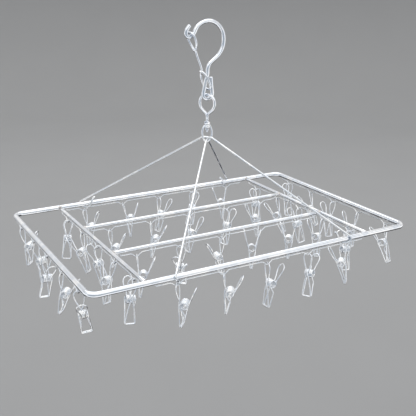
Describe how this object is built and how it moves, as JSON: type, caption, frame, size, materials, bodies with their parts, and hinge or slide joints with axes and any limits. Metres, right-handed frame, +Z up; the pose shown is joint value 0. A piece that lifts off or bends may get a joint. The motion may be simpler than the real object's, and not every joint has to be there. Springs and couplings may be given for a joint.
{
  "type": "clip drying hanger",
  "caption": "Rectangular stainless rod frame with wire spring clips on bent hang wires, hung by crossed suspension wires from a rotating bail, swivel eye and latching hook.",
  "frame": {"origin": "inside top of the hook's bulb, where the hanger rests on a line, rail or rod", "axes": "+X along the long rails to the right, +Y from the front rail to the back rail, +Z up; the hook lies in the XZ plane"},
  "size_m": [0.5597, 0.3932, 0.3914],
  "materials": {
    "rod_steel": "bright polished rod",
    "bar_steel": "bright drawn rod",
    "wire_steel": "bright drawn wire",
    "hook_steel": "bright polished hook wire",
    "clip_steel": "bright spring wire"
  },
  "bodies": {
    "hook": {"hook": "hook_steel"},
    "latch": {"latch_link": "hook_steel"},
    "swivel_eye": {"swivel_eye": "hook_steel"},
    "bail": {"bail": "hook_steel"},
    "frame": {"frame_ring": "rod_steel", "cross_bar_left": "bar_steel", "cross_bar_right": "bar_steel", "mid_bar_back": "bar_steel", "mid_bar_front": "bar_steel", "hang_wire_left": "wire_steel", "hang_wire_left_cross": "wire_steel", "hang_wire_back": "wire_steel", "hang_wire_mid_back": "wire_steel", "hang_wire_mid_front": "wire_steel", "hang_wire_front": "wire_steel", "hang_wire_right": "wire_steel", "hang_wire_right_cross": "wire_steel", "suspension_wire_lower": "wire_steel", "suspension_wire_upper": "wire_steel"},
    "clip_left_1": {"clip_left_1": "clip_steel"},
    "clip_left_2": {"clip_left_2": "clip_steel"},
    "clip_left_3": {"clip_left_3": "clip_steel"},
    "clip_left_4": {"clip_left_4": "clip_steel"},
    "clip_left_5": {"clip_left_5": "clip_steel"},
    "clip_left_cross_1": {"clip_left_cross_1": "clip_steel"},
    "clip_left_cross_2": {"clip_left_cross_2": "clip_steel"},
    "clip_left_cross_3": {"clip_left_cross_3": "clip_steel"},
    "clip_left_cross_4": {"clip_left_cross_4": "clip_steel"},
    "clip_left_cross_5": {"clip_left_cross_5": "clip_steel"},
    "clip_back_1": {"clip_back_1": "clip_steel"},
    "clip_back_2": {"clip_back_2": "clip_steel"},
    "clip_back_3": {"clip_back_3": "clip_steel"},
    "clip_back_4": {"clip_back_4": "clip_steel"},
    "clip_back_5": {"clip_back_5": "clip_steel"},
    "clip_mid_back_1": {"clip_mid_back_1": "clip_steel"},
    "clip_mid_back_2": {"clip_mid_back_2": "clip_steel"},
    "clip_mid_back_3": {"clip_mid_back_3": "clip_steel"},
    "clip_mid_back_4": {"clip_mid_back_4": "clip_steel"},
    "clip_mid_back_5": {"clip_mid_back_5": "clip_steel"},
    "clip_mid_front_1": {"clip_mid_front_1": "clip_steel"},
    "clip_mid_front_2": {"clip_mid_front_2": "clip_steel"},
    "clip_mid_front_3": {"clip_mid_front_3": "clip_steel"},
    "clip_mid_front_4": {"clip_mid_front_4": "clip_steel"},
    "clip_mid_front_5": {"clip_mid_front_5": "clip_steel"},
    "clip_front_1": {"clip_front_1": "clip_steel"},
    "clip_front_2": {"clip_front_2": "clip_steel"},
    "clip_front_3": {"clip_front_3": "clip_steel"},
    "clip_front_4": {"clip_front_4": "clip_steel"},
    "clip_front_5": {"clip_front_5": "clip_steel"},
    "clip_right_1": {"clip_right_1": "clip_steel"},
    "clip_right_2": {"clip_right_2": "clip_steel"},
    "clip_right_3": {"clip_right_3": "clip_steel"},
    "clip_right_4": {"clip_right_4": "clip_steel"},
    "clip_right_5": {"clip_right_5": "clip_steel"},
    "clip_right_cross_1": {"clip_right_cross_1": "clip_steel"},
    "clip_right_cross_2": {"clip_right_cross_2": "clip_steel"},
    "clip_right_cross_3": {"clip_right_cross_3": "clip_steel"},
    "clip_right_cross_4": {"clip_right_cross_4": "clip_steel"},
    "clip_right_cross_5": {"clip_right_cross_5": "clip_steel"}
  },
  "joints": [
    {"name": "latch_lift", "type": "slide", "parent": "hook", "child": "latch", "axis": [0.06, 0, 0.9982], "range_m": [0, 0.003]},
    {"name": "eye_swing", "type": "hinge", "parent": "hook", "child": "swivel_eye", "pos_m": [0.0009, 0, -0.1127], "axis": [1, 0, 0], "range_deg": [-12, 12]},
    {"name": "bail_swivel", "type": "hinge", "parent": "swivel_eye", "child": "bail", "pos_m": [0, 0, -0.1533], "axis": [0, 0, 1], "continuous": true},
    {"name": "frame_tilt", "type": "hinge", "parent": "bail", "child": "frame", "pos_m": [0, 0, -0.1795], "axis": [1, 0, 0], "range_deg": [-10, 10]},
    {"name": "swing_left_1", "type": "hinge", "parent": "frame", "child": "clip_left_1", "pos_m": [-0.266, 0.132, -0.3217], "axis": [0, 1, 0], "range_deg": [-40, 13.5]},
    {"name": "swing_left_2", "type": "hinge", "parent": "frame", "child": "clip_left_2", "pos_m": [-0.266, 0.066, -0.3217], "axis": [0, 1, 0], "range_deg": [-26, 40]},
    {"name": "swing_left_3", "type": "hinge", "parent": "frame", "child": "clip_left_3", "pos_m": [-0.266, 0, -0.3217], "axis": [0, 1, 0], "range_deg": [-40, 40]},
    {"name": "swing_left_4", "type": "hinge", "parent": "frame", "child": "clip_left_4", "pos_m": [-0.266, -0.066, -0.3217], "axis": [0, 1, 0], "range_deg": [-36, 40]},
    {"name": "swing_left_5", "type": "hinge", "parent": "frame", "child": "clip_left_5", "pos_m": [-0.266, -0.132, -0.3217], "axis": [0, 1, 0], "range_deg": [-40, 40]},
    {"name": "swing_left_cross_1", "type": "hinge", "parent": "frame", "child": "clip_left_cross_1", "pos_m": [-0.1884, 0.132, -0.3217], "axis": [0, 1, 0], "range_deg": [-40, 40]},
    {"name": "swing_left_cross_2", "type": "hinge", "parent": "frame", "child": "clip_left_cross_2", "pos_m": [-0.1884, 0.066, -0.3217], "axis": [0, 1, 0], "range_deg": [-36, 26]},
    {"name": "swing_left_cross_3", "type": "hinge", "parent": "frame", "child": "clip_left_cross_3", "pos_m": [-0.1884, 0, -0.3217], "axis": [0, 1, 0], "range_deg": [-40, 40]},
    {"name": "swing_left_cross_4", "type": "hinge", "parent": "frame", "child": "clip_left_cross_4", "pos_m": [-0.1884, -0.066, -0.3217], "axis": [0, 1, 0], "range_deg": [-40, 40]},
    {"name": "swing_left_cross_5", "type": "hinge", "parent": "frame", "child": "clip_left_cross_5", "pos_m": [-0.1884, -0.132, -0.3217], "axis": [0, 1, 0], "range_deg": [-40, 40]},
    {"name": "swing_back_1", "type": "hinge", "parent": "frame", "child": "clip_back_1", "pos_m": [-0.1448, 0.17415, -0.3217], "axis": [1, 0, 0], "range_deg": [-40, 18.5]},
    {"name": "swing_back_2", "type": "hinge", "parent": "frame", "child": "clip_back_2", "pos_m": [-0.0724, 0.17415, -0.3217], "axis": [1, 0, 0], "range_deg": [-40, 40]},
    {"name": "swing_back_3", "type": "hinge", "parent": "frame", "child": "clip_back_3", "pos_m": [0, 0.17415, -0.3217], "axis": [1, 0, 0], "range_deg": [-40, 40]},
    {"name": "swing_back_4", "type": "hinge", "parent": "frame", "child": "clip_back_4", "pos_m": [0.0724, 0.17415, -0.3217], "axis": [1, 0, 0], "range_deg": [-40, 33.5]},
    {"name": "swing_back_5", "type": "hinge", "parent": "frame", "child": "clip_back_5", "pos_m": [0.1448, 0.17415, -0.3217], "axis": [1, 0, 0], "range_deg": [-40, 40]},
    {"name": "swing_mid_back_1", "type": "hinge", "parent": "frame", "child": "clip_mid_back_1", "pos_m": [-0.1448, 0.05805, -0.3217], "axis": [1, 0, 0], "range_deg": [-40, 33.5]},
    {"name": "swing_mid_back_2", "type": "hinge", "parent": "frame", "child": "clip_mid_back_2", "pos_m": [-0.0724, 0.05805, -0.3217], "axis": [1, 0, 0], "range_deg": [-40, 40]},
    {"name": "swing_mid_back_3", "type": "hinge", "parent": "frame", "child": "clip_mid_back_3", "pos_m": [0, 0.05805, -0.3217], "axis": [1, 0, 0], "range_deg": [-40, 40]},
    {"name": "swing_mid_back_4", "type": "hinge", "parent": "frame", "child": "clip_mid_back_4", "pos_m": [0.0724, 0.05805, -0.3217], "axis": [1, 0, 0], "range_deg": [-40, 40]},
    {"name": "swing_mid_back_5", "type": "hinge", "parent": "frame", "child": "clip_mid_back_5", "pos_m": [0.1448, 0.05805, -0.3217], "axis": [1, 0, 0], "range_deg": [-28.5, 40]},
    {"name": "swing_mid_front_1", "type": "hinge", "parent": "frame", "child": "clip_mid_front_1", "pos_m": [-0.1498, -0.05805, -0.3217], "axis": [1, 0, 0], "range_deg": [-40, 40]},
    {"name": "swing_mid_front_2", "type": "hinge", "parent": "frame", "child": "clip_mid_front_2", "pos_m": [-0.0774, -0.05805, -0.3217], "axis": [1, 0, 0], "range_deg": [-28.5, 40]},
    {"name": "swing_mid_front_3", "type": "hinge", "parent": "frame", "child": "clip_mid_front_3", "pos_m": [-0.005, -0.05805, -0.3217], "axis": [1, 0, 0], "range_deg": [-40, 40]},
    {"name": "swing_mid_front_4", "type": "hinge", "parent": "frame", "child": "clip_mid_front_4", "pos_m": [0.0674, -0.05805, -0.3217], "axis": [1, 0, 0], "range_deg": [-40, 40]},
    {"name": "swing_mid_front_5", "type": "hinge", "parent": "frame", "child": "clip_mid_front_5", "pos_m": [0.1398, -0.05805, -0.3217], "axis": [1, 0, 0], "range_deg": [-26, 40]},
    {"name": "swing_front_1", "type": "hinge", "parent": "frame", "child": "clip_front_1", "pos_m": [-0.1448, -0.17415, -0.3217], "axis": [1, 0, 0], "range_deg": [-40, 36]},
    {"name": "swing_front_2", "type": "hinge", "parent": "frame", "child": "clip_front_2", "pos_m": [-0.0724, -0.17415, -0.3217], "axis": [1, 0, 0], "range_deg": [-40, 40]},
    {"name": "swing_front_3", "type": "hinge", "parent": "frame", "child": "clip_front_3", "pos_m": [0, -0.17415, -0.3217], "axis": [1, 0, 0], "range_deg": [-40, 40]},
    {"name": "swing_front_4", "type": "hinge", "parent": "frame", "child": "clip_front_4", "pos_m": [0.0724, -0.17415, -0.3217], "axis": [1, 0, 0], "range_deg": [-40, 40]},
    {"name": "swing_front_5", "type": "hinge", "parent": "frame", "child": "clip_front_5", "pos_m": [0.1448, -0.17415, -0.3217], "axis": [1, 0, 0], "range_deg": [-28.5, 24]},
    {"name": "swing_right_1", "type": "hinge", "parent": "frame", "child": "clip_right_1", "pos_m": [0.266, 0.132, -0.3217], "axis": [0, 1, 0], "range_deg": [-40, 40]},
    {"name": "swing_right_2", "type": "hinge", "parent": "frame", "child": "clip_right_2", "pos_m": [0.266, 0.066, -0.3217], "axis": [0, 1, 0], "range_deg": [-40, 40]},
    {"name": "swing_right_3", "type": "hinge", "parent": "frame", "child": "clip_right_3", "pos_m": [0.266, 0, -0.3217], "axis": [0, 1, 0], "range_deg": [-40, 40]},
    {"name": "swing_right_4", "type": "hinge", "parent": "frame", "child": "clip_right_4", "pos_m": [0.266, -0.066, -0.3217], "axis": [0, 1, 0], "range_deg": [-40, 40]},
    {"name": "swing_right_5", "type": "hinge", "parent": "frame", "child": "clip_right_5", "pos_m": [0.266, -0.132, -0.3217], "axis": [0, 1, 0], "range_deg": [-40, 40]},
    {"name": "swing_right_cross_1", "type": "hinge", "parent": "frame", "child": "clip_right_cross_1", "pos_m": [0.1884, 0.132, -0.3217], "axis": [0, 1, 0], "range_deg": [-40, 40]},
    {"name": "swing_right_cross_2", "type": "hinge", "parent": "frame", "child": "clip_right_cross_2", "pos_m": [0.1884, 0.066, -0.3217], "axis": [0, 1, 0], "range_deg": [-40, 40]},
    {"name": "swing_right_cross_3", "type": "hinge", "parent": "frame", "child": "clip_right_cross_3", "pos_m": [0.1884, 0, -0.3217], "axis": [0, 1, 0], "range_deg": [-40, 40]},
    {"name": "swing_right_cross_4", "type": "hinge", "parent": "frame", "child": "clip_right_cross_4", "pos_m": [0.1884, -0.066, -0.3217], "axis": [0, 1, 0], "range_deg": [-40, 40]},
    {"name": "swing_right_cross_5", "type": "hinge", "parent": "frame", "child": "clip_right_cross_5", "pos_m": [0.1884, -0.132, -0.3217], "axis": [0, 1, 0], "range_deg": [-40, 24]}
  ]
}
